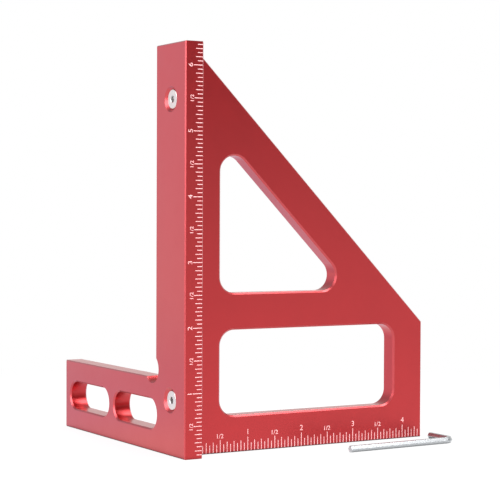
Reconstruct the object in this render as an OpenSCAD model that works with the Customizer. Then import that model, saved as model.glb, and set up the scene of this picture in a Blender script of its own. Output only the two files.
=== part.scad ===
// Rigid triangular square sold as a multi-angle folding ruler: a red plate with
// two openings and a mitred edge, screwed into a flat L-shaped fence.
// Lengths are millimetres. X runs along the plate away from the fence, Y runs
// back along the foot, Z is up. The origin lies at the bottom of the fence's
// inner face, on the plate's middle plane.

/* [Fence] */
// Thickness of the flat bar that the fence is cut from
fence_thickness = 8; // [7:0.1:14]
// Width of the upright leg, front to back
fence_depth = 24.4; // [18:0.1:40]
// Height of the upright leg
fence_height = 161.6; // [150:0.1:200]
// Length of the foot from the leg's front edge to its far end
foot_length = 112; // [110:0.1:160]
// Height of the foot
foot_height = 29.7; // [24:0.1:40]
// How deep the plate's edge is let into the fence
groove_depth = 2.1; // [1:0.1:3]
// Play on each side of the plate in its groove
groove_clearance = 0.05; // [0.02:0.01:0.1]
// Small bevel on every long outer edge
edge_chamfer = 0.4; // [0.2:0.05:1]
// Radius of the corner relief where the leg meets the foot
relief_radius = 5.4; // [4.6:0.1:8]
// Distance of the relief's centre from the leg
relief_from_leg = 3.3; // [2:0.1:4.2]
// Height of the relief's centre above the foot
relief_above_foot = 3.3; // [2:0.1:4.2]

/* [Foot slots] */
// Width of the two long slots in the foot
slot_width = 12; // [6:0.1:16]
// Length of each slot from end to end
slot_length = 39.3; // [24:0.1:40]
// Wall left between the two slots
slot_gap = 4.8; // [3.6:0.1:6]
// Wall left between the last slot and the foot's far end
slot_end_wall = 4.8; // [3.6:0.1:6]
// Bevel round each slot's rim
slot_chamfer = 0.6; // [0.2:0.05:1]

/* [Plate] */
// Reach of the plate from the fence's inner face
plate_reach = 111.4; // [100:0.1:140]
// Thickness of the plate
plate_thickness = 7.4; // [6.4:0.1:12]
// How far the fence rises above the point where the mitred edge meets it
fence_rise = 0.9; // [0:0.1:4]
// Width of the rails that frame both openings, measured square to each rail
rail_width = 14.7; // [12:0.1:20]
// Height at which the lower opening ends and the crossbar starts
crossbar_height = 48.9; // [40:0.1:60]
// Corner radius of the openings
opening_radius = 6.4; // [2:0.1:7]
// Bevel round the rims of the openings
rim_chamfer = 0.65; // [0.3:0.05:1.2]

/* [Screws] */
// Height of the lower screw
lower_screw_height = 21.8; // [18:0.1:26]
// Distance of the upper screw below the plate's top
upper_screw_drop = 20.9; // [16:0.1:25]
// Outer diameter of the M4 thread
thread_diameter = 4; // [4:0.5:4]
// Pitch of the M4 thread
thread_pitch = 0.7; // [0.7:0.1:0.7]
// Depth of the thread from crest to root
thread_depth = 0.38; // [0.3:0.01:0.43]
// Length of a screw from the top of its head to its tip
screw_length = 16; // [12:1:16]
// Diameter of the flat top of the countersunk head
head_diameter = 7.6; // [7:0.1:8]
// Height of the short straight side between the head's flat top and its cone
head_side = 0.5; // [0.3:0.05:0.6]
// Diameter of the countersink where it opens on the fence
countersink_diameter = 10.2; // [9.8:0.1:11]
// Gap between the head's cone and the countersink, square to the cone
seat_gap = 0.05; // [0.02:0.01:0.1]
// Diameter of the clearance hole through the fence
clearance_hole_diameter = 4.4; // [4.3:0.1:4.8]
// Radial gap between the thread's crests and the hole in the plate
thread_gap = 0.05; // [0.02:0.01:0.1]
// Empty length left in the plate's hole past the screw's tip
hole_spare = 0.9; // [0.5:0.1:1.2]
// Angle at the bottom of a drilled hole
drill_angle = 118; // [110:1:130]
// Depth of the hexagon socket
socket_depth = 2.3; // [1.5:0.1:2.6]
// Diameter of the bevel round the socket's mouth
socket_mouth_diameter = 3.1; // [3.1:0.1:4.8]
// Depth of the bevel round the socket's mouth
socket_mouth_depth = 0.15; // [0.15:0.05:0.6]
// Bevel at the screw's tip
tip_chamfer = 0.5; // [0.3:0.05:0.6]

/* [Hex key] */
// Size of the key and of the screws' sockets across the flats
key_across_flats = 2.5; // [2.5:0.5:2.5]
// Play of the key in the socket, across the flats
key_clearance = 0.06; // [0.02:0.01:0.1]
// Overall length of the long arm
key_long_arm = 54; // [40:0.5:70]
// Overall length of the short arm
key_short_arm = 16.5; // [12:0.5:24]
// Bend radius on the key's middle line
key_bend_radius = 3.75; // [3:0.05:6]
// Distance of the long arm's free end along the plate
key_start = 59.5; // [20:0.5:80]
// Distance of the long arm's free end in front of the plate's middle plane
key_forward = 26.4; // [20:0.1:40]
// Turn of the lying key about the vertical
key_turn = 1.5; // [0:0.1:10]

/* [Scales] */
// One inch, the unit of both scales
inch = 25.4; // [25.4:0.1:25.4]
// Width of an engraved line
line_width = 0.3; // [0.2:0.01:0.5]
// Depth of an engraved line
line_depth = 0.12; // [0.05:0.01:0.2]
// Length of a sixteenth line on the fence
sixteenth_line = 2.6; // [2:0.1:3]
// Length of an eighth or quarter line on the fence
eighth_line = 3.4; // [3:0.1:4]
// Length of a half inch line on the fence
half_line = 4; // [3.6:0.1:4.4]
// Length of a whole inch line on the fence
inch_line = 4.4; // [4:0.1:5]
// Length of the plate's lines as a share of the fence's lines
plate_line_share = 1.32; // [1:0.01:1.4]

/* [Hidden] */
$fn = 96;
// How far a cutting shape runs past the face that it cuts
cut_overrun = 0.5;
half_depth = fence_depth / 2;
foot_end = foot_length - half_depth;
relief_centre = [half_depth + relief_from_leg, foot_height + relief_above_foot];
half_plate = plate_thickness / 2;
plate_top = fence_height - fence_rise;
upper_screw_height = plate_top - upper_screw_drop;
opening_left = rail_width - groove_depth;
opening_right = plate_reach - rail_width;
upper_opening_floor = crossbar_height + rail_width;
slant_line = plate_top - rail_width * sqrt(2);
slot_radius = slot_width / 2;
slot_step = slot_length + slot_gap;
far_slot_centre = foot_end - slot_end_wall - slot_length / 2;
near_slot_centre = far_slot_centre - slot_step;
slot_height = foot_height / 2;
slot_half_run = slot_length / 2 - slot_radius;
thread_radius = thread_diameter / 2;
root_radius = thread_radius - thread_depth;
hole_radius = thread_radius + thread_gap;
head_radius = head_diameter / 2;
countersink_radius = countersink_diameter / 2;
head_sink = countersink_radius - head_radius - head_side - seat_gap * sqrt(2);
head_top = head_sink - fence_thickness;
hole_end = head_top + screw_length + hole_spare;
drill_cone = hole_radius / tan(drill_angle / 2);
head_height = head_side + head_radius - thread_radius;
thread_start = head_height + thread_pitch;
thread_turns = floor((screw_length - thread_start - tip_chamfer) / thread_pitch);
crest_share = 1 / 8;
sixteenth = inch / 16;
fence_line_count = floor((fence_height - 2 * edge_chamfer) / sixteenth);
plate_line_count = floor((plate_reach - 2 * edge_chamfer) / sixteenth);
socket_corner = (key_across_flats + key_clearance) / 2 / cos(30);
key_corner = key_across_flats / 2 / cos(30);
key_arm_centre = key_long_arm - key_corner;
key_tip_height = key_short_arm - key_corner;

// Plate openings, corners listed clockwise as seen from the front
lower_opening = [
    [opening_left, rail_width],
    [opening_left, crossbar_height],
    [opening_right, crossbar_height],
    [opening_right, rail_width]
];
upper_opening = [
    [opening_left, upper_opening_floor],
    [opening_left, slant_line - opening_left],
    [slant_line - upper_opening_floor, upper_opening_floor]
];
// Plate outline, corners listed anticlockwise as seen from the front
plate_outline = [
    [-groove_depth, 0],
    [plate_reach, 0],
    [plate_reach, plate_top - plate_reach],
    [0, plate_top],
    [-groove_depth, plate_top]
];

function unit(v) = v / norm(v);
function corner(list, i) = list[(i + len(list)) % len(list)];
function ahead(list, i) = unit(corner(list, i + 1) - corner(list, i));
function behind(list, i) = unit(corner(list, i - 1) - corner(list, i));
function half_angle(list, i) = acos(ahead(list, i) * behind(list, i)) / 2;
function arc_centre(list, i, r) =
    corner(list, i) + unit(ahead(list, i) + behind(list, i)) * r / sin(half_angle(list, i));
function arc_start(list, i, r) = corner(list, i) + behind(list, i) * r / tan(half_angle(list, i));
function arc_end(list, i, r) = corner(list, i) + ahead(list, i) * r / tan(half_angle(list, i));
function hexagon(r) = [for (i = [0:5]) [r * cos(i * 60), r * sin(i * 60)]];
function line_share(k) =
    k % 16 == 0 ? inch_line : k % 8 == 0 ? half_line : k % 2 == 0 ? eighth_line : sixteenth_line;

// A flat drawing in X and Z given a thickness that is centred on Y
module slab(thickness)
    translate([0, thickness / 2, 0])
        rotate([90, 0, 0])
            linear_extrude(thickness)
                children();

// The same shape on the front face and on the back face of a slab
module both_faces() {
    children();
    mirror([0, 1, 0])
        children();
}

// A bevel along one straight edge of a slab's front face, material on the left
module bevel_run(from, to, size, thickness, spare)
    translate([from[0], -thickness / 2, from[1]])
        rotate([0, -atan2(to[1] - from[1], to[0] - from[0]), 0])
            translate([-spare, 0, 0])
                rotate([90, 0, 90])
                    linear_extrude(norm(to - from) + 2 * spare)
                        polygon([
                            [-cut_overrun, size + cut_overrun],
                            [size + cut_overrun, -cut_overrun],
                            [-cut_overrun, -cut_overrun]
                        ]);

// A bevel round an arc of a slab's front face
module bevel_arc(centre, r, size, thickness)
    translate([centre[0], -thickness / 2 - cut_overrun, centre[1]])
        rotate([-90, 0, 0])
            cylinder(h = size + 2 * cut_overrun, r1 = r + size + cut_overrun, r2 = r - cut_overrun);

// An opening with round corners and bevelled rims, cut right through a slab
module opening(list, r, size, thickness) {
    slab(thickness + 2 * cut_overrun) {
        polygon([for (i = [0:len(list) - 1]) each [arc_start(list, i, r), arc_end(list, i, r)]]);
        for (i = [0:len(list) - 1])
            translate(arc_centre(list, i, r))
                circle(r);
    }
    both_faces()
        for (i = [0:len(list) - 1]) {
            bevel_arc(arc_centre(list, i, r), r, size, thickness);
            bevel_run(arc_end(list, i, r), arc_start(list, i + 1, r), size, thickness, 0);
        }
}

// A slot with round ends and bevelled rims, cut right through a slab
module slot(centre) {
    slab(fence_thickness + 2 * cut_overrun)
        translate([centre, slot_height]) {
            square([2 * slot_half_run, slot_width], center = true);
            for (side = [-1, 1])
                translate([side * slot_half_run, 0])
                    circle(slot_radius);
        }
    both_faces() {
        for (side = [-1, 1])
            bevel_arc([centre + side * slot_half_run, slot_height], slot_radius, slot_chamfer, fence_thickness);
        bevel_run(
            [centre + slot_half_run, slot_height - slot_radius],
            [centre - slot_half_run, slot_height - slot_radius],
            slot_chamfer, fence_thickness, 0);
        bevel_run(
            [centre - slot_half_run, slot_height + slot_radius],
            [centre + slot_half_run, slot_height + slot_radius],
            slot_chamfer, fence_thickness, 0);
    }
}

// The fence drawn as a slab, its length along X and its inner face in front
module fence_blank() {
    difference() {
        slab(fence_thickness)
            difference() {
                union() {
                    translate([-half_depth, 0])
                        square([fence_depth, fence_height]);
                    translate([-half_depth, 0])
                        square([foot_length, foot_height]);
                }
                translate(relief_centre)
                    circle(relief_radius);
            }
        both_faces() {
            bevel_arc(relief_centre, relief_radius, edge_chamfer, fence_thickness);
            bevel_run([-half_depth, 0], [foot_end, 0], edge_chamfer, fence_thickness, cut_overrun);
            bevel_run([foot_end, 0], [foot_end, foot_height], edge_chamfer, fence_thickness, cut_overrun);
            bevel_run(
                [foot_end, foot_height],
                [relief_centre[0], foot_height],
                edge_chamfer, fence_thickness, cut_overrun);
            bevel_run(
                [half_depth, relief_centre[1]],
                [half_depth, fence_height],
                edge_chamfer, fence_thickness, cut_overrun);
            bevel_run([half_depth, fence_height], [-half_depth, fence_height], edge_chamfer, fence_thickness, cut_overrun);
            bevel_run([-half_depth, fence_height], [-half_depth, 0], edge_chamfer, fence_thickness, cut_overrun);
        }
        slot(near_slot_centre);
        slot(far_slot_centre);
    }
}

// The clearance hole and its countersink, starting from the fence's outer face
module screw_seat(height)
    translate([-fence_thickness, 0, height])
        rotate([0, 90, 0]) {
            translate([0, 0, -cut_overrun])
                cylinder(h = fence_thickness + 2 * cut_overrun, d = clearance_hole_diameter);
            translate([0, 0, -cut_overrun])
                cylinder(h = countersink_radius + cut_overrun, r1 = countersink_radius + cut_overrun, r2 = 0);
        }

// The engraved lines of one scale, drawn from zero to the right and upwards
module scale_lines(count, share)
    for (k = [1:count])
        translate([k * sixteenth - line_width / 2, -cut_overrun])
            square([line_width, line_share(k) * share + cut_overrun]);

module fence() {
    color("firebrick")
        difference() {
            translate([-fence_thickness / 2, 0, 0])
                rotate([0, 0, 90])
                    fence_blank();
            translate([-groove_depth, -half_plate - groove_clearance, -cut_overrun])
                cube([
                    groove_depth + cut_overrun,
                    plate_thickness + 2 * groove_clearance,
                    fence_height + 2 * cut_overrun
                ]);
            screw_seat(lower_screw_height);
            screw_seat(upper_screw_height);
            translate([0, line_depth - half_depth, 0])
                rotate([90, -90, 0])
                    linear_extrude(line_depth + cut_overrun)
                        scale_lines(fence_line_count, 1);
        }
}

// The tapped hole in the plate, drilled from the edge that sits in the groove
module plate_hole(height)
    translate([-groove_depth, 0, height])
        rotate([0, 90, 0]) {
            translate([0, 0, -cut_overrun])
                cylinder(h = groove_depth + hole_end + cut_overrun, r = hole_radius);
            translate([0, 0, groove_depth + hole_end])
                cylinder(h = drill_cone, r1 = hole_radius, r2 = 0);
        }

module triangle_plate() {
    color("firebrick")
        difference() {
            slab(plate_thickness)
                polygon(plate_outline);
            both_faces()
                for (i = [0:2])
                    bevel_run(
                        plate_outline[i], plate_outline[i + 1],
                        edge_chamfer, plate_thickness, cut_overrun);
            opening(lower_opening, opening_radius, rim_chamfer, plate_thickness);
            opening(upper_opening, opening_radius, rim_chamfer, plate_thickness);
            plate_hole(lower_screw_height);
            plate_hole(upper_screw_height);
            translate([0, line_depth - half_plate, 0])
                rotate([90, 0, 0])
                    linear_extrude(line_depth + cut_overrun)
                        scale_lines(plate_line_count, plate_line_share);
        }
}

// A countersunk screw standing on its axis, the flat of its head at zero
module screw_blank() {
    difference() {
        rotate_extrude()
            polygon(concat(
                [[0, 0], [head_radius, 0], [head_radius, head_side], [thread_radius, head_height]],
                [for (i = [0:thread_turns - 1]) each [
                    [thread_radius, thread_start + i * thread_pitch],
                    [root_radius, thread_start + (i + (1 - crest_share) / 2) * thread_pitch],
                    [thread_radius, thread_start + (i + 1 - crest_share) * thread_pitch]
                ]],
                [
                    [thread_radius, screw_length - tip_chamfer],
                    [thread_radius - tip_chamfer, screw_length],
                    [0, screw_length]
                ]
            ));
        translate([0, 0, -cut_overrun])
            linear_extrude(socket_depth + cut_overrun)
                polygon(hexagon(socket_corner));
        cylinder(
            h = socket_mouth_depth,
            d1 = socket_mouth_diameter,
            d2 = key_across_flats);
    }
}

module placed_screw(height)
    color("silver")
        translate([head_top, 0, height])
            rotate([0, 90, 0])
                screw_blank();

module upper_screw() placed_screw(upper_screw_height);

module lower_screw() placed_screw(lower_screw_height);

// A ring that bevels the six corners at one tip of the key, tip at zero
module key_tip_ring()
    rotate_extrude()
        polygon([
            [key_across_flats / 2 - cut_overrun, -cut_overrun],
            [key_corner + cut_overrun, -cut_overrun],
            [key_corner + cut_overrun, key_corner - key_across_flats / 2 + cut_overrun]
        ]);

module hex_key() {
    color("lightgray")
        translate([key_start, -key_forward, key_across_flats / 2])
            rotate([0, 0, key_turn])
                difference() {
                    union() {
                        rotate([90, 0, 90])
                            linear_extrude(key_arm_centre - key_bend_radius)
                                polygon(hexagon(key_corner));
                        translate([key_arm_centre - key_bend_radius, key_bend_radius, 0])
                            rotate([0, 0, -90])
                                rotate_extrude(angle = 90)
                                    translate([key_bend_radius, 0])
                                        polygon(hexagon(key_corner));
                        translate([key_arm_centre, key_tip_height, 0])
                            rotate([90, 0, 0])
                                linear_extrude(key_tip_height - key_bend_radius)
                                    polygon(hexagon(key_corner));
                    }
                    rotate([0, 90, 0])
                        key_tip_ring();
                    translate([key_arm_centre, key_tip_height, 0])
                        rotate([90, 0, 0])
                            key_tip_ring();
                }
}

triangle_plate();
fence();
upper_screw();
lower_screw();
hex_key();
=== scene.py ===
# %% [markdown]
# A red marking square, dressed for its photograph
#
# The object is a square for marking out wood: a red triangular plate, screwed to a
# slotted fence, with a hexagon key lying in front of it. The solids come from the
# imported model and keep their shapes. This script gives them their finishes, fills the
# engraved scales, cuts real threads on the screws, bends a better key, and sets up the
# light and the camera. It is read from top to bottom, one step at a time.

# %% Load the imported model
import math

import bmesh
import bpy
from mathutils import Matrix, Vector


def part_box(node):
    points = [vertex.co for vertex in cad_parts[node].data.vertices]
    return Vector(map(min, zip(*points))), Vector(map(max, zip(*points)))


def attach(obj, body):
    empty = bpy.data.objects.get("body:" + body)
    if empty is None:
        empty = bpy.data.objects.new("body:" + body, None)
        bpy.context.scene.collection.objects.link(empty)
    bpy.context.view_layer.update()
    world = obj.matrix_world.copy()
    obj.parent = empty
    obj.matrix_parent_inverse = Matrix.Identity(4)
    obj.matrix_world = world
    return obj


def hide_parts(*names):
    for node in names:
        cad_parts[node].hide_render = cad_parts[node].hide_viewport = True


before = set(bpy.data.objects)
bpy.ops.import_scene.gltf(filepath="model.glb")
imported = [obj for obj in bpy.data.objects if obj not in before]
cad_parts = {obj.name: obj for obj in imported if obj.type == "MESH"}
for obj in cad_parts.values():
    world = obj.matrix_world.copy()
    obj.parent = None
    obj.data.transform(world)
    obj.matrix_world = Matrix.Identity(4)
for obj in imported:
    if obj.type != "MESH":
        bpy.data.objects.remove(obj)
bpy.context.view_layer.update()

print("nodes:", ", ".join(sorted(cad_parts)))

# %% [markdown]
# Units, and where the pieces are
#
# Blender works in metres, and a maker thinks of this tool in millimetres and inches.
# One constant turns millimetres to metres. The faces that the marks lie on are read
# from the boxes of the solids, so that they stay right if the model changes a little.

# %% Units and the faces that carry the scales
MM = 0.001
INCH = 25.4 * MM
SIXTEENTH = INCH / 16

fence_low, fence_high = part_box("fence")
plate_low, plate_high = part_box("triangle_plate")
FENCE_FRONT = fence_low[1]
FENCE_INNER = fence_high[0]
PLATE_FRONT = plate_low[1]
PLATE_REACH = plate_high[0]
FENCE_TOP = fence_high[2]
EDGE_BEVEL = 0.4 * MM
print("fence is", round((fence_high[2] - fence_low[2]) / MM, 1), "mm tall")

# %% [markdown]
# Colour and shader helpers
#
# Colours are picked as sRGB hex values, as they look on a screen, and shaders want
# linear light, so one function converts them. A second one adds a shader node with its
# settings and its links in one call, which keeps the material recipes short.
#
# A noise texture runs from 0 to 1, but most of it lies between 0.3 and 0.7, so a range
# that should be used in full starts and ends there.


# %% Values that several materials share
NOISE_LOW = 0.3
NOISE_HIGH = 0.7
PURE_WHITE = (1.0, 1.0, 1.0, 1.0)


# %% Turn a hex colour to linear light
def linear(hex_colour):
    channels = [int(hex_colour[i:i + 2], 16) / 255 for i in (1, 3, 5)]
    light = [c / 12.92 if c <= 0.04045 else ((c + 0.055) / 1.055) ** 2.4 for c in channels]
    return (*light, 1.0)


# %% Add a shader node
def add_node(tree, kind, settings=None, inputs=None):
    node = tree.nodes.new(kind)
    for name, value in (settings or {}).items():
        setattr(node, name, value)
    for name, value in (inputs or {}).items():
        if isinstance(value, bpy.types.NodeSocket):
            tree.links.new(value, node.inputs[name])
        else:
            node.inputs[name].default_value = value
    return node


# %% Start a material with an empty tree
def new_material(name):
    material = bpy.data.materials.new(name)
    material.use_nodes = True
    tree = material.node_tree
    tree.nodes.clear()
    return material, tree


# %% [markdown]
# Bead-blasted aluminium, anodised red
#
# Both big pieces are sawn and milled from aluminium plate, blasted with fine beads,
# and anodised: an acid bath grows a clear hard oxide film, and a red dye soaks into
# it. The metal under the film still mirrors the room, only blurred by the blasting, so
# the shader is a metal with a red base. The film on top is the coat. It turns pale
# where it is seen at a low angle, as the fence's side does in the photograph.
#
# The blasted grain is about 0.1 mm, too fine to show from here, so it is drawn at
# 0.35 mm. The dye takes unevenly over a few centimetres. The edges are painted paler:
# the Bevel node finds them by comparing the true normal with a rounded one. This is
# partly wear from handling and partly a painted sheen. The milled bevels lean 45
# degrees from the big face, and a test on the normal picks them out; their paler
# colour is a painted highlight.

# %% Anodised aluminium
DYE_RED = "#d4292f"
DYE_DEEP = "#cb242a"
# Paler red for the edges, partly rubbed and partly a painted sheen, and for the painted highlight on
# the bevels.
RUBBED_AND_SHEEN_RED = "#c86d72"
BLAST_GRAIN = 0.35 * MM
DYE_CLOUD = 28 * MM
SCUFF_SIZE = 6 * MM
EDGE_ROUND = 0.25 * MM
EDGE_STARTS = 0.995
EDGE_IS_FULL = 0.93
# How far the edges turn paler: partly wear, partly a painted sheen.
EDGE_WEAR_AND_SHEEN = 0.9
# Share of the paler colour on the bevels: a painted highlight.
BEVEL_PAINTED_SHEEN = 0.3
BEVEL_LEAN = math.sqrt(0.5)
BEVEL_LEAN_PLAY = 0.05
BLASTED_SMOOTHEST = 0.36
BLASTED_ROUGHEST = 0.44
BLAST_BUMP = 0.35
BLAST_DEPTH = 0.02 * MM
FILM_ROUGHNESS = 0.3
FILM_IOR = 1.5


def anodised_red(name, seed, across):
    material, tree = new_material(name)
    place = add_node(tree, "ShaderNodeTexCoord").outputs["Object"]
    cloud = add_node(
        tree, "ShaderNodeTexNoise", {"noise_dimensions": "4D"},
        {"Vector": place, "W": seed, "Scale": 1 / DYE_CLOUD, "Detail": 3.0, "Roughness": 0.55})
    scuffs = add_node(
        tree, "ShaderNodeTexNoise", {"noise_dimensions": "4D"},
        {"Vector": place, "W": seed + 3.0, "Scale": 1 / SCUFF_SIZE, "Detail": 5.0, "Roughness": 0.6})
    grain = add_node(
        tree, "ShaderNodeTexNoise", {"noise_dimensions": "4D"},
        {"Vector": place, "W": seed + 7.0, "Scale": 1 / BLAST_GRAIN, "Detail": 2.0, "Roughness": 0.5})
    dye = add_node(
        tree, "ShaderNodeMix", {"data_type": "RGBA"},
        {"Factor": cloud.outputs["Fac"], "A": linear(DYE_DEEP), "B": linear(DYE_RED)})
    rounded = add_node(tree, "ShaderNodeBevel", {"samples": 6}, {"Radius": EDGE_ROUND})
    true_normal = add_node(tree, "ShaderNodeNewGeometry").outputs["Normal"]
    facing = add_node(
        tree, "ShaderNodeVectorMath", {"operation": "DOT_PRODUCT"},
        {0: rounded.outputs["Normal"], 1: true_normal})
    # Paler edges: partly wear from handling, partly a painted sheen.
    edge = add_node(
        tree, "ShaderNodeMapRange", {"interpolation_type": "SMOOTHSTEP"},
        {"Value": facing.outputs["Value"], "From Min": EDGE_STARTS, "From Max": EDGE_IS_FULL,
         "To Min": 0.0, "To Max": EDGE_WEAR_AND_SHEEN})
    edge_wear_and_sheen = add_node(
        tree, "ShaderNodeMath", {"operation": "MULTIPLY"},
        {0: edge.outputs["Result"], 1: scuffs.outputs["Fac"]})
    # The 45-degree bevels are picked out and painted paler: a painted highlight.
    lean = add_node(
        tree, "ShaderNodeVectorMath", {"operation": "DOT_PRODUCT"}, {0: true_normal, 1: across})
    tilt = add_node(tree, "ShaderNodeMath", {"operation": "ABSOLUTE"}, {0: lean.outputs["Value"]})
    on_bevel = add_node(
        tree, "ShaderNodeMath", {"operation": "COMPARE"},
        {0: tilt.outputs["Value"], 1: BEVEL_LEAN, 2: BEVEL_LEAN_PLAY})
    painted_bevel_sheen = add_node(
        tree, "ShaderNodeMath", {"operation": "MULTIPLY"},
        {0: on_bevel.outputs["Value"], 1: BEVEL_PAINTED_SHEEN})
    pale = add_node(
        tree, "ShaderNodeMath", {"operation": "MAXIMUM"},
        {0: painted_bevel_sheen.outputs["Value"], 1: edge_wear_and_sheen.outputs["Value"]})
    colour = add_node(
        tree, "ShaderNodeMix", {"data_type": "RGBA"},
        {"Factor": pale.outputs["Value"], "A": dye.outputs["Result"], "B": linear(RUBBED_AND_SHEEN_RED)})
    gloss = add_node(
        tree, "ShaderNodeMapRange", {},
        {"Value": scuffs.outputs["Fac"], "From Min": NOISE_LOW, "From Max": NOISE_HIGH,
         "To Min": BLASTED_SMOOTHEST, "To Max": BLASTED_ROUGHEST})
    relief = add_node(
        tree, "ShaderNodeBump", {},
        {"Strength": BLAST_BUMP, "Distance": BLAST_DEPTH, "Height": grain.outputs["Fac"]})
    skin = add_node(
        tree, "ShaderNodeBsdfPrincipled", {},
        {"Base Color": colour.outputs["Result"], "Metallic": 1.0, "Roughness": gloss.outputs["Result"],
         "Coat Weight": 1.0, "Coat Roughness": FILM_ROUGHNESS, "Coat IOR": FILM_IOR,
         "Normal": relief.outputs["Normal"]})
    add_node(tree, "ShaderNodeOutputMaterial", {}, {"Surface": skin.outputs["BSDF"]})
    return material


plate_finish = anodised_red("plate_bead_blasted_anodised_aluminium", 1.0, (0.0, 1.0, 0.0))
fence_finish = anodised_red("fence_bead_blasted_anodised_aluminium", 5.0, (1.0, 0.0, 0.0))
print("made", plate_finish.name, "and", fence_finish.name)

# %% [markdown]
# Pale enamel in the engraving
#
# The lines and numerals are cut by a fine tool or a laser and look like a pale filler.
# It is matt and pink, since the red shows through, more so where it lies thin, and it
# is a little uneven along a line. It is a plain dielectric with a broad highlight.

# %% Engraving filler
FILL_PALE = "#ffcfcd"
FILL_THIN = "#fbabaa"
FILL_PATCH = 0.8 * MM
FILL_ALL_THIN = 0.3
FILL_ALL_PALE = 0.6
FILL_ROUGHNESS = 0.55
FILL_BUMP = 0.3
FILL_BUMP_DEPTH = 0.02 * MM


def engraving_enamel(name):
    material, tree = new_material(name)
    place = add_node(tree, "ShaderNodeTexCoord").outputs["Object"]
    patches = add_node(
        tree, "ShaderNodeTexNoise", {},
        {"Vector": place, "Scale": 1 / FILL_PATCH, "Detail": 2.0})
    thinness = add_node(
        tree, "ShaderNodeMapRange", {},
        {"Value": patches.outputs["Fac"], "From Min": FILL_ALL_THIN, "From Max": FILL_ALL_PALE,
         "To Min": 1.0, "To Max": 0.0})
    colour = add_node(
        tree, "ShaderNodeMix", {"data_type": "RGBA"},
        {"Factor": thinness.outputs["Result"], "A": linear(FILL_PALE), "B": linear(FILL_THIN)})
    relief = add_node(
        tree, "ShaderNodeBump", {},
        {"Strength": FILL_BUMP, "Distance": FILL_BUMP_DEPTH, "Height": patches.outputs["Fac"]})
    skin = add_node(
        tree, "ShaderNodeBsdfPrincipled", {},
        {"Base Color": colour.outputs["Result"], "Roughness": FILL_ROUGHNESS,
         "Normal": relief.outputs["Normal"]})
    add_node(tree, "ShaderNodeOutputMaterial", {}, {"Surface": skin.outputs["BSDF"]})
    return material


scale_fill = engraving_enamel("scale_pale_engraving_enamel")
print("made", scale_fill.name)

# %% [markdown]
# Turned and plated screw steel
#
# The screws are cold-headed steel, turned on the head and nickel plated. The lathe
# leaves fine rings about the screw's axis. Each point of a screw keeps its distance
# from the screw's axis in a vertex attribute, so the rings follow the axis wherever
# the screw is. The same distance tells where the socket is, and there the colour is
# darker and greyer: painted shade in the recess.

# %% Nickel-plated steel
NICKEL_BRIGHT = "#faf4ea"
NICKEL_DULL = "#e6dfd5"
TURNING_PITCH = 0.25 * MM
STAIN_SIZE = 1.5 * MM
SOCKET_REACH = 1.5 * MM
# Darker grey for the socket: painted shade in the recess.
SOCKET_PAINTED_SHADE = "#e0dddc"
PLATING_SMOOTHEST = 0.26
PLATING_ROUGHEST = 0.4
TURNING_BUMP = 0.2
TURNING_DEPTH = 0.01 * MM


def plated_steel(name):
    material, tree = new_material(name)
    place = add_node(tree, "ShaderNodeTexCoord").outputs["Object"]
    radius = add_node(tree, "ShaderNodeAttribute", {"attribute_name": "off_axis"}).outputs["Fac"]
    turns = add_node(
        tree, "ShaderNodeMath", {"operation": "MULTIPLY"},
        {0: radius, 1: 2 * math.pi / TURNING_PITCH})
    rings = add_node(tree, "ShaderNodeMath", {"operation": "SINE"}, {0: turns.outputs["Value"]})
    stains = add_node(
        tree, "ShaderNodeTexNoise", {},
        {"Vector": place, "Scale": 1 / STAIN_SIZE, "Detail": 4.0})
    plating = add_node(
        tree, "ShaderNodeMix", {"data_type": "RGBA"},
        {"Factor": stains.outputs["Fac"], "A": linear(NICKEL_BRIGHT), "B": linear(NICKEL_DULL)})
    # Inside the socket the colour is darker and greyer: painted shade.
    in_socket = add_node(
        tree, "ShaderNodeMath", {"operation": "LESS_THAN"}, {0: radius, 1: SOCKET_REACH})
    colour = add_node(
        tree, "ShaderNodeMix", {"data_type": "RGBA"},
        {"Factor": in_socket.outputs["Value"], "A": plating.outputs["Result"],
         "B": linear(SOCKET_PAINTED_SHADE)})
    gloss = add_node(
        tree, "ShaderNodeMapRange", {},
        {"Value": stains.outputs["Fac"], "From Min": NOISE_LOW, "From Max": NOISE_HIGH,
         "To Min": PLATING_SMOOTHEST, "To Max": PLATING_ROUGHEST})
    relief = add_node(
        tree, "ShaderNodeBump", {},
        {"Strength": TURNING_BUMP, "Distance": TURNING_DEPTH, "Height": rings.outputs["Value"]})
    skin = add_node(
        tree, "ShaderNodeBsdfPrincipled", {},
        {"Base Color": colour.outputs["Result"], "Metallic": 1.0, "Roughness": gloss.outputs["Result"],
         "Normal": relief.outputs["Normal"]})
    add_node(tree, "ShaderNodeOutputMaterial", {}, {"Surface": skin.outputs["BSDF"]})
    return material


screw_finish = plated_steel("screw_nickel_plated_steel")
print("made", screw_finish.name)

# %% [markdown]
# Drawn and chromed key steel
#
# A key is hexagon bar drawn through a die, cut, bent cold and chromed. Drawing leaves
# faint lines along the bar, which show as stretched streaks. The plating is satin, not
# bright, so the bar blurs what it mirrors.

# %% Chromed steel
CHROME_BRIGHT = "#d6d9db"
CHROME_DULL = "#bfc2c6"
DRAW_LINE = 0.3 * MM
DRAW_STRETCH = 0.04
SATIN_SMOOTHEST = 0.34
SATIN_ROUGHEST = 0.4
DRAW_BUMP = 0.02
DRAW_DEPTH = 0.01 * MM


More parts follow.
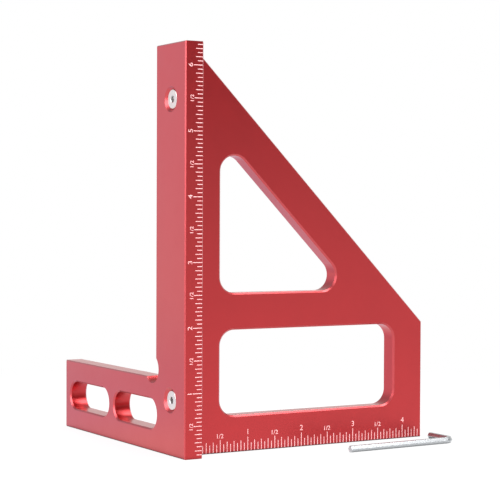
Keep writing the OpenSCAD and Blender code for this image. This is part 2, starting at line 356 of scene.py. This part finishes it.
def chromed_steel(name, lie):
    material, tree = new_material(name)
    place = add_node(tree, "ShaderNodeTexCoord").outputs["Object"]
    along = add_node(
        tree, "ShaderNodeMapping", {},
        {"Vector": place, "Rotation": (0.0, 0.0, -lie), "Scale": (DRAW_STRETCH, 1.0, 1.0)})
    streaks = add_node(
        tree, "ShaderNodeTexNoise", {},
        {"Vector": along.outputs["Vector"], "Scale": 1 / DRAW_LINE, "Detail": 3.0})
    colour = add_node(
        tree, "ShaderNodeMix", {"data_type": "RGBA"},
        {"Factor": streaks.outputs["Fac"], "A": linear(CHROME_BRIGHT), "B": linear(CHROME_DULL)})
    gloss = add_node(
        tree, "ShaderNodeMapRange", {},
        {"Value": streaks.outputs["Fac"], "From Min": NOISE_LOW, "From Max": NOISE_HIGH,
         "To Min": SATIN_SMOOTHEST, "To Max": SATIN_ROUGHEST})
    relief = add_node(
        tree, "ShaderNodeBump", {},
        {"Strength": DRAW_BUMP, "Distance": DRAW_DEPTH, "Height": streaks.outputs["Fac"]})
    skin = add_node(
        tree, "ShaderNodeBsdfPrincipled", {},
        {"Base Color": colour.outputs["Result"], "Metallic": 1.0, "Roughness": gloss.outputs["Result"],
         "Normal": relief.outputs["Normal"]})
    add_node(tree, "ShaderNodeOutputMaterial", {}, {"Surface": skin.outputs["BSDF"]})
    return material


KEY_TURN = math.radians(1.5)
key_finish = chromed_steel("key_chromed_drawn_steel", KEY_TURN)
print("made", key_finish.name)

# %% [markdown]
# The plate and the fence keep their solids
#
# Both shapes are exact already: the openings, the bevels, the slots and the engraved
# grooves are cut in the solid. Only their material slots change.


# %% Dress the two milled pieces
def dress(node, finish):
    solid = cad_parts[node]
    solid.data.materials.clear()
    solid.data.materials.append(finish)


dress("triangle_plate", plate_finish)
dress("fence", fence_finish)
print("dressed the plate and the fence")

# %% [markdown]
# Turning mesh work into pieces
#
# Every new piece is built with bmesh, goes into the scene as an object, takes its
# finish, and is told which body it moves with. One function does that last part.


# %% Put a mesh into the scene as a piece
def make_piece(name, work, finish, body):
    mesh = bpy.data.meshes.new(name)
    work.to_mesh(mesh)
    work.free()
    mesh.materials.append(finish)
    piece = bpy.data.objects.new(name, mesh)
    bpy.context.scene.collection.objects.link(piece)
    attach(piece, body)
    print(name, "has", len(mesh.polygons), "faces")
    return piece


# %% [markdown]
# The lines of the two scales
#
# Each line of the inch scales is a groove in the solid, 0.12 mm deep. Real filler lies
# a hair under the surface, so each line gets a thin bar that stops short of the face
# and of the groove's walls. Lines stand for sixteenths: the longer the line, the
# rounder the fraction.

# %% Line lengths
LINE_WIDTH = 0.3 * MM
GROOVE_DEPTH = 0.12 * MM
FILL_SHY = 0.015 * MM
FENCE_LINES = {16: 4.4 * MM, 8: 4.0 * MM, 2: 3.4 * MM, 1: 2.6 * MM}
PLATE_LINE_SHARE = 1.32


def line_length(step):
    return next(length for every, length in FENCE_LINES.items() if step % every == 0)


# %% One thin bar of filler
def add_bar(work, low, high):
    centre = (Vector(low) + Vector(high)) / 2
    size = Vector(high) - Vector(low)
    bar = bmesh.ops.create_cube(work, size=1.0)
    bmesh.ops.scale(work, vec=size, verts=bar["verts"])
    bmesh.ops.translate(work, vec=centre, verts=bar["verts"])


# %% Fill the fence's scale
half_line = LINE_WIDTH / 2 - FILL_SHY
fence_line_count = int((FENCE_TOP - 2 * EDGE_BEVEL) / SIXTEENTH)
work = bmesh.new()
for step in range(1, fence_line_count + 1):
    height = step * SIXTEENTH
    add_bar(
        work,
        (FENCE_INNER - line_length(step) + FILL_SHY, FENCE_FRONT + FILL_SHY, height - half_line),
        (FENCE_INNER - EDGE_BEVEL + FILL_SHY, FENCE_FRONT + GROOVE_DEPTH, height + half_line))
make_piece("fence_scale_lines", work, scale_fill, "fence")

# %% Fill the plate's scale
plate_line_count = int((PLATE_REACH - 2 * EDGE_BEVEL) / SIXTEENTH)
work = bmesh.new()
for step in range(1, plate_line_count + 1):
    across = step * SIXTEENTH
    top = line_length(step) * PLATE_LINE_SHARE
    add_bar(
        work,
        (across - half_line, PLATE_FRONT + FILL_SHY, EDGE_BEVEL - FILL_SHY),
        (across + half_line, PLATE_FRONT + GROOVE_DEPTH, top - FILL_SHY))
make_piece("plate_scale_lines", work, scale_fill, "plate")

# %% [markdown]
# The numerals
#
# Whole inches carry a plain numeral and half inches the fraction 1/2. Blender's own
# font gives clean outlines. Each label is turned to a mesh, stretched to the size that
# was measured for it, and laid on the face. On the fence the labels stand on end, with
# their tops to the left. A negative swell draws the outline in, in shares of the
# font's size, because the real strokes are thin. A numeral keeps the width share that
# it has in the font beside a full figure, so that a 1 isn't stretched.

# %% Label sizes
NUMERAL_THICK = 0.03 * MM
NUMERAL_SINK = 0.012 * MM
FENCE_NUMERAL = (1.5 * MM, 1.85 * MM)
FENCE_FRACTION = (2.55 * MM, 1.5 * MM)
PLATE_NUMERAL = (1.45 * MM, 2.15 * MM)
PLATE_FRACTION = (2.9 * MM, 1.75 * MM)
FENCE_NUMERAL_X = -5.72 * MM
FENCE_FRACTION_X = -5.05 * MM
PLATE_NUMERAL_Z = 7.82 * MM
PLATE_FRACTION_Z = 6.82 * MM
FENCE_NUMERAL_SWELL = -0.006
PLATE_NUMERAL_SWELL = -0.007
FRACTION_SWELL = -0.001
LABEL_HALF_THICK = 0.5
LABEL_CURVE_STEPS = 3
FENCE_HALF_INCHES = 12
PLATE_HALF_INCHES = 8


# %% A label as a thin mesh
def label_mesh(text, swell):
    curve = bpy.data.curves.new("label", "FONT")
    curve.body = text
    curve.offset = swell
    curve.extrude = LABEL_HALF_THICK
    curve.resolution_u = LABEL_CURVE_STEPS
    maker = bpy.data.objects.new("label", curve)
    bpy.context.scene.collection.objects.link(maker)
    view = bpy.context.evaluated_depsgraph_get()
    mesh = bpy.data.meshes.new_from_object(maker.evaluated_get(view))
    bpy.data.objects.remove(maker)
    bpy.data.curves.remove(curve)
    return mesh


# %% Lowest and highest corner of a label
def outline_box(mesh):
    xs = [v.co.x for v in mesh.vertices]
    ys = [v.co.y for v in mesh.vertices]
    return Vector((min(xs), min(ys))), Vector((max(xs), max(ys)))


full_figure = label_mesh("2", FRACTION_SWELL)
full_low, full_high = outline_box(full_figure)
bpy.data.meshes.remove(full_figure)
full_width = full_high.x - full_low.x
print("a full figure is", round(full_width, 3), "wide in the font")


# %% Add a label to a face that looks towards -Y
def add_label(work, text, swell, size, place, right, up):
    mesh = label_mesh(text, swell)
    low, high = outline_box(mesh)
    middle = (low + high) / 2
    wide = full_width if len(text) == 1 else high.x - low.x
    shape = Matrix.Diagonal((size[0] / wide, size[1] / (high.y - low.y), NUMERAL_THICK, 1.0))
    centred = Matrix.Translation((-middle.x, -middle.y, 0.0))
    turn = Matrix((right, up, right.cross(up))).transposed().to_4x4()
    mesh.transform(Matrix.Translation(place) @ turn @ shape @ centred)
    work.from_mesh(mesh)
    bpy.data.meshes.remove(mesh)


# %% Label the fence
RIGHT = Vector((1, 0, 0))
UP = Vector((0, 0, 1))
fence_label_y = FENCE_FRONT + NUMERAL_SINK
work = bmesh.new()
for half in range(1, FENCE_HALF_INCHES + 1):
    whole = half % 2 == 0
    text = str(half // 2) if whole else "1/2"
    size = FENCE_NUMERAL if whole else FENCE_FRACTION
    x = FENCE_NUMERAL_X if whole else FENCE_FRACTION_X
    swell = FENCE_NUMERAL_SWELL if whole else FRACTION_SWELL
    add_label(work, text, swell, size, Vector((x, fence_label_y, half * INCH / 2)), UP, -RIGHT)
make_piece("fence_numerals", work, scale_fill, "fence")

# %% Label the plate
plate_label_y = PLATE_FRONT + NUMERAL_SINK
work = bmesh.new()
for half in range(1, PLATE_HALF_INCHES + 1):
    whole = half % 2 == 0
    text = str(half // 2) if whole else "1/2"
    size = PLATE_NUMERAL if whole else PLATE_FRACTION
    z = PLATE_NUMERAL_Z if whole else PLATE_FRACTION_Z
    swell = PLATE_NUMERAL_SWELL if whole else FRACTION_SWELL
    add_label(work, text, swell, size, Vector((half * INCH / 2, plate_label_y, z)), RIGHT, UP)
make_piece("plate_numerals", work, scale_fill, "plate")

# %% [markdown]
# The countersunk screws
#
# An M4 countersunk screw is a lathe shape apart from two things: the hexagon socket
# and the thread, which winds round it. So the mesh is a stack of rings about the axis.
# In the socket the rings are hexagons. Along the thread, the radius at each point of a
# ring depends on the angle too, which makes a true helix. In the photograph only the
# heads show, and the threads show when a screw is drawn out.

# %% Screw sizes
AROUND = 48
HEAD_RADIUS = 3.8 * MM
HEAD_SIDE = 0.5 * MM
HEAD_EDGE = 0.15 * MM
THREAD_RADIUS = 2.0 * MM
HEAD_HEIGHT = HEAD_SIDE + HEAD_RADIUS - THREAD_RADIUS
THREAD_DEPTH = 0.38 * MM
THREAD_PITCH = 0.7 * MM
FLANK_SLOPE = 2.6
ROOT_SHARE = 0.25
SCREW_LENGTH = 16.0 * MM
TIP_BEVEL = 0.5 * MM
SOCKET_FLATS = 2.56 * MM
SOCKET_DEPTH = 2.3 * MM
SOCKET_DRILL = 0.5 * MM
MOUTH_RADIUS = 1.55 * MM
MOUTH_DEPTH = 0.15 * MM
ROWS_PER_PITCH = 8
SCREW_SHARP_ANGLE = math.radians(28)


# %% Radius of a hexagon at an angle
def hexagon_radius(flats, angle):
    return flats / 2 / math.cos((angle + math.pi / 6) % (math.pi / 3) - math.pi / 6)


# %% Radius of the thread at a depth and an angle
def thread_surface(depth, angle):
    phase = (depth / THREAD_PITCH - angle / (2 * math.pi)) % 1.0
    ridge = min(max((0.5 - abs(phase - 0.5)) * FLANK_SLOPE - ROOT_SHARE, 0.0), 1.0)
    rise = min(max((depth - HEAD_HEIGHT) / THREAD_PITCH, 0.0), 1.0)
    radius = THREAD_RADIUS - THREAD_DEPTH + THREAD_DEPTH * ridge * rise
    return min(radius, THREAD_RADIUS - TIP_BEVEL + SCREW_LENGTH - depth)


# %% Join rings of points into a skin
def skin_rings(work, rings):
    for near, far in zip(rings, rings[1:]):
        for i in range(len(near)):
            j = (i + 1) % len(near)
            work.faces.new((near[i], near[j], far[j], far[i]))


# %% Close a ring with a fan round its middle point
def close_ring(work, ring, middle):
    tip = work.verts.new(middle)
    for i in range(len(ring)):
        work.faces.new((ring[i], ring[(i + 1) % len(ring)], tip))


# %% Build one screw along +X from the flat of its head
def build_screw(name, body):
    low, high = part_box(name)
    head_x = low[0]
    middle_y = (low[1] + high[1]) / 2
    middle_z = (low[2] + high[2]) / 2
    work = bmesh.new()

    def ring(depth, radius_at):
        points = []
        for i in range(AROUND):
            angle = 2 * math.pi * i / AROUND
            radius = radius_at(angle)
            points.append(work.verts.new((
                head_x + depth,
                middle_y + radius * math.sin(angle),
                middle_z + radius * math.cos(angle))))
        return points

    rings = [
        ring(SOCKET_DEPTH, lambda a: hexagon_radius(SOCKET_FLATS, a)),
        ring(MOUTH_DEPTH, lambda a: hexagon_radius(SOCKET_FLATS, a)),
        ring(0.0, lambda a: MOUTH_RADIUS),
        ring(0.0, lambda a: HEAD_RADIUS - HEAD_EDGE),
        ring(HEAD_EDGE, lambda a: HEAD_RADIUS),
        ring(HEAD_SIDE, lambda a: HEAD_RADIUS),
        ring(HEAD_HEIGHT, lambda a: THREAD_RADIUS - THREAD_DEPTH / 2),
    ]
    thread_start = HEAD_HEIGHT + THREAD_DEPTH
    rows = int((SCREW_LENGTH - thread_start) / THREAD_PITCH * ROWS_PER_PITCH)
    for row in range(rows + 1):
        depth = thread_start + (SCREW_LENGTH - thread_start) * row / rows
        rings.append(ring(depth, lambda a: thread_surface(depth, a)))
    skin_rings(work, rings)
    close_ring(work, rings[-1], (head_x + SCREW_LENGTH, middle_y, middle_z))
    close_ring(work, rings[0][::-1], (head_x + SOCKET_DEPTH + SOCKET_DRILL, middle_y, middle_z))
    bmesh.ops.recalc_face_normals(work, faces=work.faces)
    piece = make_piece(name + "_threaded", work, screw_finish, body)
    off_axis = piece.data.attributes.new("off_axis", "FLOAT", "POINT")
    for vertex, value in zip(piece.data.vertices, off_axis.data):
        value.value = math.hypot(vertex.co.y - middle_y, vertex.co.z - middle_z)
    piece.data.shade_smooth()
    piece.data.set_sharp_from_angle(angle=SCREW_SHARP_ANGLE)
    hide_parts(name)


build_screw("upper_screw", "upper_screw")
build_screw("lower_screw", "lower_screw")

# %% [markdown]
# The hexagon key
#
# Real hexagon bar has slightly soft corners, and those corners carry the bright lines
# that make it look like metal. So the key is swept again: a hexagon section whose six
# corners are small arcs is carried along the long arm, round the bend and out along
# the short arm. A weighted normal modifier keeps the flats flat.

# %% Key sizes
KEY_FLATS = 2.5 * MM
KEY_CORNER = 0.16 * MM
KEY_LONG = 54.0 * MM
KEY_SHORT = 16.5 * MM
KEY_BEND = 3.75 * MM
KEY_TIP = 0.12 * MM
KEY_START = Vector((59.5 * MM, -26.4 * MM, KEY_FLATS / 2))
CORNER_STEPS = 4
BEND_STEPS = 20
KEY_SHARP_ANGLE = math.radians(40)


# %% Points of a soft-cornered hexagon, flats up and down
def soft_hexagon(flats, corner):
    points = []
    reach = (flats / 2 - corner) / math.cos(math.pi / 6)
    for side in range(6):
        middle = side * math.pi / 3
        for step in range(CORNER_STEPS):
            angle = middle + math.pi / 3 * (step / (CORNER_STEPS - 1) - 0.5)
            points.append((
                reach * math.cos(middle) + corner * math.cos(angle),
                reach * math.sin(middle) + corner * math.sin(angle)))
    return points


# %% Stations along the key: place, direction and size of the section
def key_stations():
    outer = KEY_FLATS / 2 / math.cos(math.pi / 6)
    far = KEY_LONG - outer
    tip = KEY_SHORT - outer
    small = 1 - 2 * KEY_TIP / KEY_FLATS
    stations = [(0.0, 0.0, 0.0, small), (KEY_TIP, 0.0, 0.0, 1.0)]
    for step in range(BEND_STEPS + 1):
        turn = math.pi / 2 * step / BEND_STEPS
        stations.append((
            far - KEY_BEND + KEY_BEND * math.sin(turn),
            KEY_BEND - KEY_BEND * math.cos(turn),
            turn, 1.0))
    stations.append((far, tip - KEY_TIP, math.pi / 2, 1.0))
    stations.append((far, tip, math.pi / 2, small))
    return stations


# %% Sweep the key
work = bmesh.new()
section = soft_hexagon(KEY_FLATS, KEY_CORNER)
lie = Matrix.Translation(KEY_START) @ Matrix.Rotation(KEY_TURN, 4, "Z")
rings = []
for x, y, turn, size in key_stations():
    ring = []
    for side, height in section:
        point = Vector((
            x - side * size * math.sin(turn),
            y + side * size * math.cos(turn),
            height * size))
        ring.append(work.verts.new(lie @ point))
    rings.append(ring)
skin_rings(work, rings)
work.faces.new(rings[0])
work.faces.new(rings[-1])
bmesh.ops.recalc_face_normals(work, faces=work.faces)
key = make_piece("hex_key_swept", work, key_finish, "hex_key")
key.data.shade_smooth()
key.data.set_sharp_from_angle(angle=KEY_SHARP_ANGLE)
key.modifiers.new("flat_faces", "WEIGHTED_NORMAL").keep_sharp = True
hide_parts("hex_key")

# %% [markdown]
# Floor and background
#
# The photograph has a white sweep with almost no shadow. A matt white floor near the
# object keeps a faint contact shadow. The camera sees most of it as plain white
# instead of as lit paper, and further out the floor fades to pure white, so that it
# meets the white background with no line.

# %% Lay the floor
FLOOR_HALF = 6.0
FLOOR_DROP = 0.02 * MM

work = bmesh.new()
bmesh.ops.create_grid(work, x_segments=1, y_segments=1, size=FLOOR_HALF)
floor_mesh = bpy.data.meshes.new("studio_floor")
work.to_mesh(floor_mesh)
work.free()
floor = bpy.data.objects.new("studio_floor", floor_mesh)
floor.location.z = -FLOOR_DROP
bpy.context.scene.collection.objects.link(floor)
print("the floor is", 2 * FLOOR_HALF, "m wide")

# %% [markdown]
# White paper
#
# The paper is a mix of two surfaces: matt paper, which takes the shadow, and a plain
# white glow. The camera, mirrors and glass see mostly the glow. The paper's own bounce
# onto matt surfaces comes from the matt part alone.

# %% How plain the paper looks
OBJECT_MIDDLE = (0.05, 0.02, 0.0)
SHADOW_NEAR = 0.12
SHADOW_FAR = 0.32
SHADOW_SHARE = 0.12

paper, tree = new_material("studio_white_paper")
place = add_node(tree, "ShaderNodeTexCoord").outputs["Object"]
middle = add_node(
    tree, "ShaderNodeVectorMath", {"operation": "SUBTRACT"}, {0: place, 1: OBJECT_MIDDLE})
away = add_node(
    tree, "ShaderNodeVectorMath", {"operation": "LENGTH"}, {0: middle.outputs["Vector"]})
plain = add_node(
    tree, "ShaderNodeMapRange", {"interpolation_type": "SMOOTHSTEP"},
    {"Value": away.outputs["Value"], "From Min": SHADOW_NEAR, "From Max": SHADOW_FAR,
     "To Min": 1 - SHADOW_SHARE, "To Max": 1.0})
path = add_node(tree, "ShaderNodeLightPath")
seen = add_node(
    tree, "ShaderNodeMath", {"operation": "MAXIMUM"},
    {0: path.outputs["Is Camera Ray"], 1: path.outputs["Is Glossy Ray"]})
seen_or_through = add_node(
    tree, "ShaderNodeMath", {"operation": "MAXIMUM"},
    {0: seen.outputs["Value"], 1: path.outputs["Is Transmission Ray"]})
share = add_node(
    tree, "ShaderNodeMath", {"operation": "MULTIPLY"},
    {0: plain.outputs["Result"], 1: seen_or_through.outputs["Value"]})

# %% [markdown]
# Where the paper ends
#
# In front of the object the sheet ends, and the studio's floor beyond it is dim. Only
# reflections show this, because the camera's own rays are left out.

# %% End of the sheet
PAPER_EDGE = -0.62
PAPER_FADE = 0.25
STUDIO_DIM = 0.24

depth = add_node(tree, "ShaderNodeSeparateXYZ", {}, {"Vector": place})
paper_here = add_node(
    tree, "ShaderNodeMapRange", {"interpolation_type": "SMOOTHSTEP"},
    {"Value": depth.outputs["Y"], "From Min": PAPER_EDGE - PAPER_FADE, "From Max": PAPER_EDGE,
     "To Min": STUDIO_DIM, "To Max": 1.0})
bright = add_node(
    tree, "ShaderNodeMath", {"operation": "MAXIMUM"},
    {0: path.outputs["Is Camera Ray"], 1: paper_here.outputs["Result"]})

# %% [markdown]
# Shade on the paper close to a piece
#
# A glow has no shadow of its own, so low surfaces would mirror paper that is too
# bright. Ambient occlusion tells how closed in a point of the paper is, and the glow is
# dimmed by it in reflections. Beside the plate the shade is broad. In front, beside the
# bright key, it is thin and deep, so the key's underside has a dark line.

# %% Contact shade
CONTACT_REACH = 4 * MM
CONTACT_DEPTH = 2.5
THIN_SHADE_DEEPEST = 0.05
THIN_SHADE_STARTS = 0.3
THIN_SHADE_ENDS = 0.42
KEY_SIDE = -15 * MM

contact = add_node(
    tree, "ShaderNodeAmbientOcclusion", {"samples": 6},
    {"Color": PURE_WHITE, "Distance": CONTACT_REACH})
deep_shade = add_node(
    tree, "ShaderNodeMath", {"operation": "POWER"}, {0: contact.outputs["AO"], 1: CONTACT_DEPTH})
thin_shade = add_node(
    tree, "ShaderNodeMapRange", {"interpolation_type": "SMOOTHSTEP"},
    {"Value": contact.outputs["AO"], "From Min": THIN_SHADE_STARTS, "From Max": THIN_SHADE_ENDS,
     "To Min": THIN_SHADE_DEEPEST, "To Max": 1.0})
by_key = add_node(
    tree, "ShaderNodeMapRange", {},
    {"Value": depth.outputs["Y"], "From Min": KEY_SIDE - MM, "From Max": KEY_SIDE + MM,
     "To Min": 1.0, "To Max": 0.0})
shade = add_node(
    tree, "ShaderNodeMix", {"data_type": "FLOAT"},
    {"Factor": by_key.outputs["Result"], "A": deep_shade.outputs["Value"],
     "B": thin_shade.outputs["Result"]})
open_sky = add_node(
    tree, "ShaderNodeMath", {"operation": "MAXIMUM"},
    {0: path.outputs["Is Camera Ray"], 1: shade.outputs["Result"]})
glow = add_node(
    tree, "ShaderNodeMath", {"operation": "MULTIPLY"},
    {0: bright.outputs["Value"], 1: open_sky.outputs["Value"]})

# %% [markdown]
# Shaded paper behind the object
#
# The paper just behind the object lies in its shade. In reflections it is a little
# dimmer and bluer than the rest.

# %% Paper behind
BEHIND_STARTS = 0.02
BEHIND_IS_FULL = 0.15
BEHIND_NEAR = 0.25
BEHIND_FAR = 0.6
PAPER_BEHIND = (0.75, 0.76, 0.95, 1.0)

behind = add_node(
    tree, "ShaderNodeMapRange", {"interpolation_type": "SMOOTHSTEP"},
    {"Value": depth.outputs["Y"], "From Min": BEHIND_STARTS, "From Max": BEHIND_IS_FULL,
     "To Min": 0.0, "To Max": 1.0})
close_by = add_node(
    tree, "ShaderNodeMapRange", {"interpolation_type": "SMOOTHSTEP"},
    {"Value": away.outputs["Value"], "From Min": BEHIND_NEAR, "From Max": BEHIND_FAR,
     "To Min": 1.0, "To Max": 0.0})
shaded = add_node(
    tree, "ShaderNodeMath", {"operation": "MULTIPLY"},
    {0: behind.outputs["Result"], 1: close_by.outputs["Result"]})
mirrored = add_node(
    tree, "ShaderNodeMix", {"data_type": "RGBA"},
    {"Factor": shaded.outputs["Value"], "A": PURE_WHITE, "B": PAPER_BEHIND})
paper_tint = add_node(
    tree, "ShaderNodeMix", {"data_type": "RGBA"},
    {"Factor": path.outputs["Is Camera Ray"], "A": mirrored.outputs["Result"], "B": PURE_WHITE})

# %% Put the paper together
PAPER_WHITE = "#f4f4f4"

lit = add_node(tree, "ShaderNodeBsdfDiffuse", {}, {"Color": linear(PAPER_WHITE)})
white = add_node(
    tree, "ShaderNodeEmission", {},
    {"Color": paper_tint.outputs["Result"], "Strength": glow.outputs["Value"]})
surface = add_node(
    tree, "ShaderNodeMixShader", {},
    {0: share.outputs["Value"], 1: lit.outputs["BSDF"], 2: white.outputs["Emission"]})
add_node(tree, "ShaderNodeOutputMaterial", {}, {"Surface": surface.outputs["Shader"]})
floor_mesh.materials.append(paper)
print("made", paper.name, "with", len(tree.nodes), "nodes")

# %% [markdown]
# The room
#
# Red metal shows what it mirrors. Behind the object the room is nearly white, which
# gives the pale sheen on the fence's side, a little cooler on the left than on the
# right. In front, where the photographer stands, it is almost dark, which keeps the
# front faces deep red, and overhead it is dimmer than at the sides. The camera sees
# pure white, and matt surfaces are lit by the room at full strength.

# %% How bright the room is in each direction
ROOM_BACK = 0.92
ROOM_FRONT = 0.04
ROOM_DARK_SIDE = (0.36, -0.93, 0.06)
DARK_STARTS = 0.2
DARK_IS_FULL = 0.95
ROOM_ABOVE = 0.45
CEILING_STARTS = 0.15
CEILING_IS_FULL = 0.6

room = bpy.data.worlds.new("studio_room")
room.use_nodes = True
bpy.context.scene.world = room
tree = room.node_tree
tree.nodes.clear()
direction = add_node(tree, "ShaderNodeTexCoord").outputs["Generated"]
parts = add_node(tree, "ShaderNodeSeparateXYZ", {}, {"Vector": direction})
frontward = add_node(
    tree, "ShaderNodeVectorMath", {"operation": "DOT_PRODUCT"},
    {0: direction, 1: ROOM_DARK_SIDE})
back_to_front = add_node(
    tree, "ShaderNodeMapRange", {"interpolation_type": "SMOOTHSTEP"},
    {"Value": frontward.outputs["Value"], "From Min": DARK_STARTS, "From Max": DARK_IS_FULL,
     "To Min": ROOM_BACK, "To Max": ROOM_FRONT})
ceiling = add_node(
    tree, "ShaderNodeMapRange", {"interpolation_type": "SMOOTHSTEP"},
    {"Value": parts.outputs["Z"], "From Min": CEILING_STARTS, "From Max": CEILING_IS_FULL,
     "To Min": 1.0, "To Max": ROOM_ABOVE})
walls = add_node(
    tree, "ShaderNodeMath", {"operation": "MULTIPLY"},
    {0: back_to_front.outputs["Result"], 1: ceiling.outputs["Result"]})
path = add_node(tree, "ShaderNodeLightPath")
white_room = add_node(
    tree, "ShaderNodeMath", {"operation": "MAXIMUM"},
    {0: path.outputs["Is Camera Ray"], 1: path.outputs["Is Diffuse Ray"]})
strength = add_node(
    tree, "ShaderNodeMath", {"operation": "MAXIMUM"},
    {0: walls.outputs["Value"], 1: white_room.outputs["Value"]})

# %% What tint the room has, and the finished room
ROOM_LEFT = (0.95, 0.94, 1.08, 1.0)
ROOM_RIGHT = (1.05, 1.05, 1.03, 1.0)
SIDE_BLEND = 0.4

rightward = add_node(
    tree, "ShaderNodeMapRange", {"interpolation_type": "SMOOTHSTEP"},
    {"Value": parts.outputs["X"], "From Min": -SIDE_BLEND, "From Max": SIDE_BLEND,
     "To Min": 0.0, "To Max": 1.0})
wall_tint = add_node(
    tree, "ShaderNodeMix", {"data_type": "RGBA"},
    {"Factor": rightward.outputs["Result"], "A": ROOM_LEFT, "B": ROOM_RIGHT})
tint = add_node(
    tree, "ShaderNodeMix", {"data_type": "RGBA"},
    {"Factor": path.outputs["Is Camera Ray"], "A": wall_tint.outputs["Result"], "B": PURE_WHITE})
room_light = add_node(
    tree, "ShaderNodeBackground", {},
    {"Color": tint.outputs["Result"], "Strength": strength.outputs["Value"]})
add_node(tree, "ShaderNodeOutputWorld", {}, {"Surface": room_light.outputs["Background"]})
print("made", room.name, "with", len(tree.nodes), "nodes")

# %% [markdown]
# Lamps
#
# Three soft boxes. The big square one on the left stands high and lights the fence's
# outer face. A wide, low and weak one in front on the right brightens the plate
# towards its foot. The third hangs high in front on the right and shines down on the
# tops of the rails.


# %% A soft box aimed at a point
def soft_box(name, place, target, width, height, power):
    lamp = bpy.data.lights.new(name, "AREA")
    lamp.shape = "RECTANGLE"
    lamp.size = width
    lamp.size_y = height
    lamp.energy = power
    holder = bpy.data.objects.new(name, lamp)
    holder.location = place
    holder.rotation_euler = (Vector(target) - Vector(place)).to_track_quat("-Z", "Y").to_euler()
    bpy.context.scene.collection.objects.link(holder)
    print(name, "gives", power, "W")


# %% Three soft boxes, in metres and watts
soft_box(
    "soft_box_left", place=(-0.9, -0.18, 0.56), target=(0.0, 0.0, 0.08),
    width=0.85, height=0.85, power=8.8)
soft_box(
    "soft_box_front", place=(0.5, -0.95, 0.06), target=(0.06, 0.0, 0.03),
    width=0.9, height=0.24, power=0.6)
soft_box(
    "soft_box_overhead", place=(0.441, -0.381, 0.94), target=(0.03, 0.03, 0.03),
    width=0.6, height=0.81, power=8.6)

# %% [markdown]
# The camera
#
# The camera was solved from the inch marks of the two scales and the object's straight
# edges, with the picture's middle as its axis. It stands about 95 mm above the bench
# and about 67 cm from the middle of the object, and looks down by little more than a
# degree through a long lens.

# %% Camera
FOCAL_PIXELS = 1574.47
PHOTO_PIXELS = 500
SENSOR = 36.0
NEAREST_SEEN = 0.01
CAMERA_PLACE = Vector((-294.098, -546.240, 94.813)) * MM
CAMERA_RIGHT = Vector((0.86127736, -0.50811847, 0.00411405))
CAMERA_DOWN = Vector((-0.00787896, -0.02144961, -0.99973888))
CAMERA_FORWARD = Vector((0.50807404, 0.86102005, -0.02247751))

lens = bpy.data.cameras.new("photo_camera")
lens.sensor_width = SENSOR
lens.lens = FOCAL_PIXELS / PHOTO_PIXELS * SENSOR
lens.clip_start = NEAREST_SEEN
camera = bpy.data.objects.new("photo_camera", lens)
turn = Matrix((CAMERA_RIGHT, -CAMERA_DOWN, -CAMERA_FORWARD)).transposed()
camera.matrix_world = Matrix.Translation(CAMERA_PLACE) @ turn.to_4x4()
bpy.context.scene.collection.objects.link(camera)
bpy.context.scene.camera = camera
bpy.context.scene.view_settings.view_transform = "Standard"
print("the lens is", round(lens.lens, 1), "mm long")
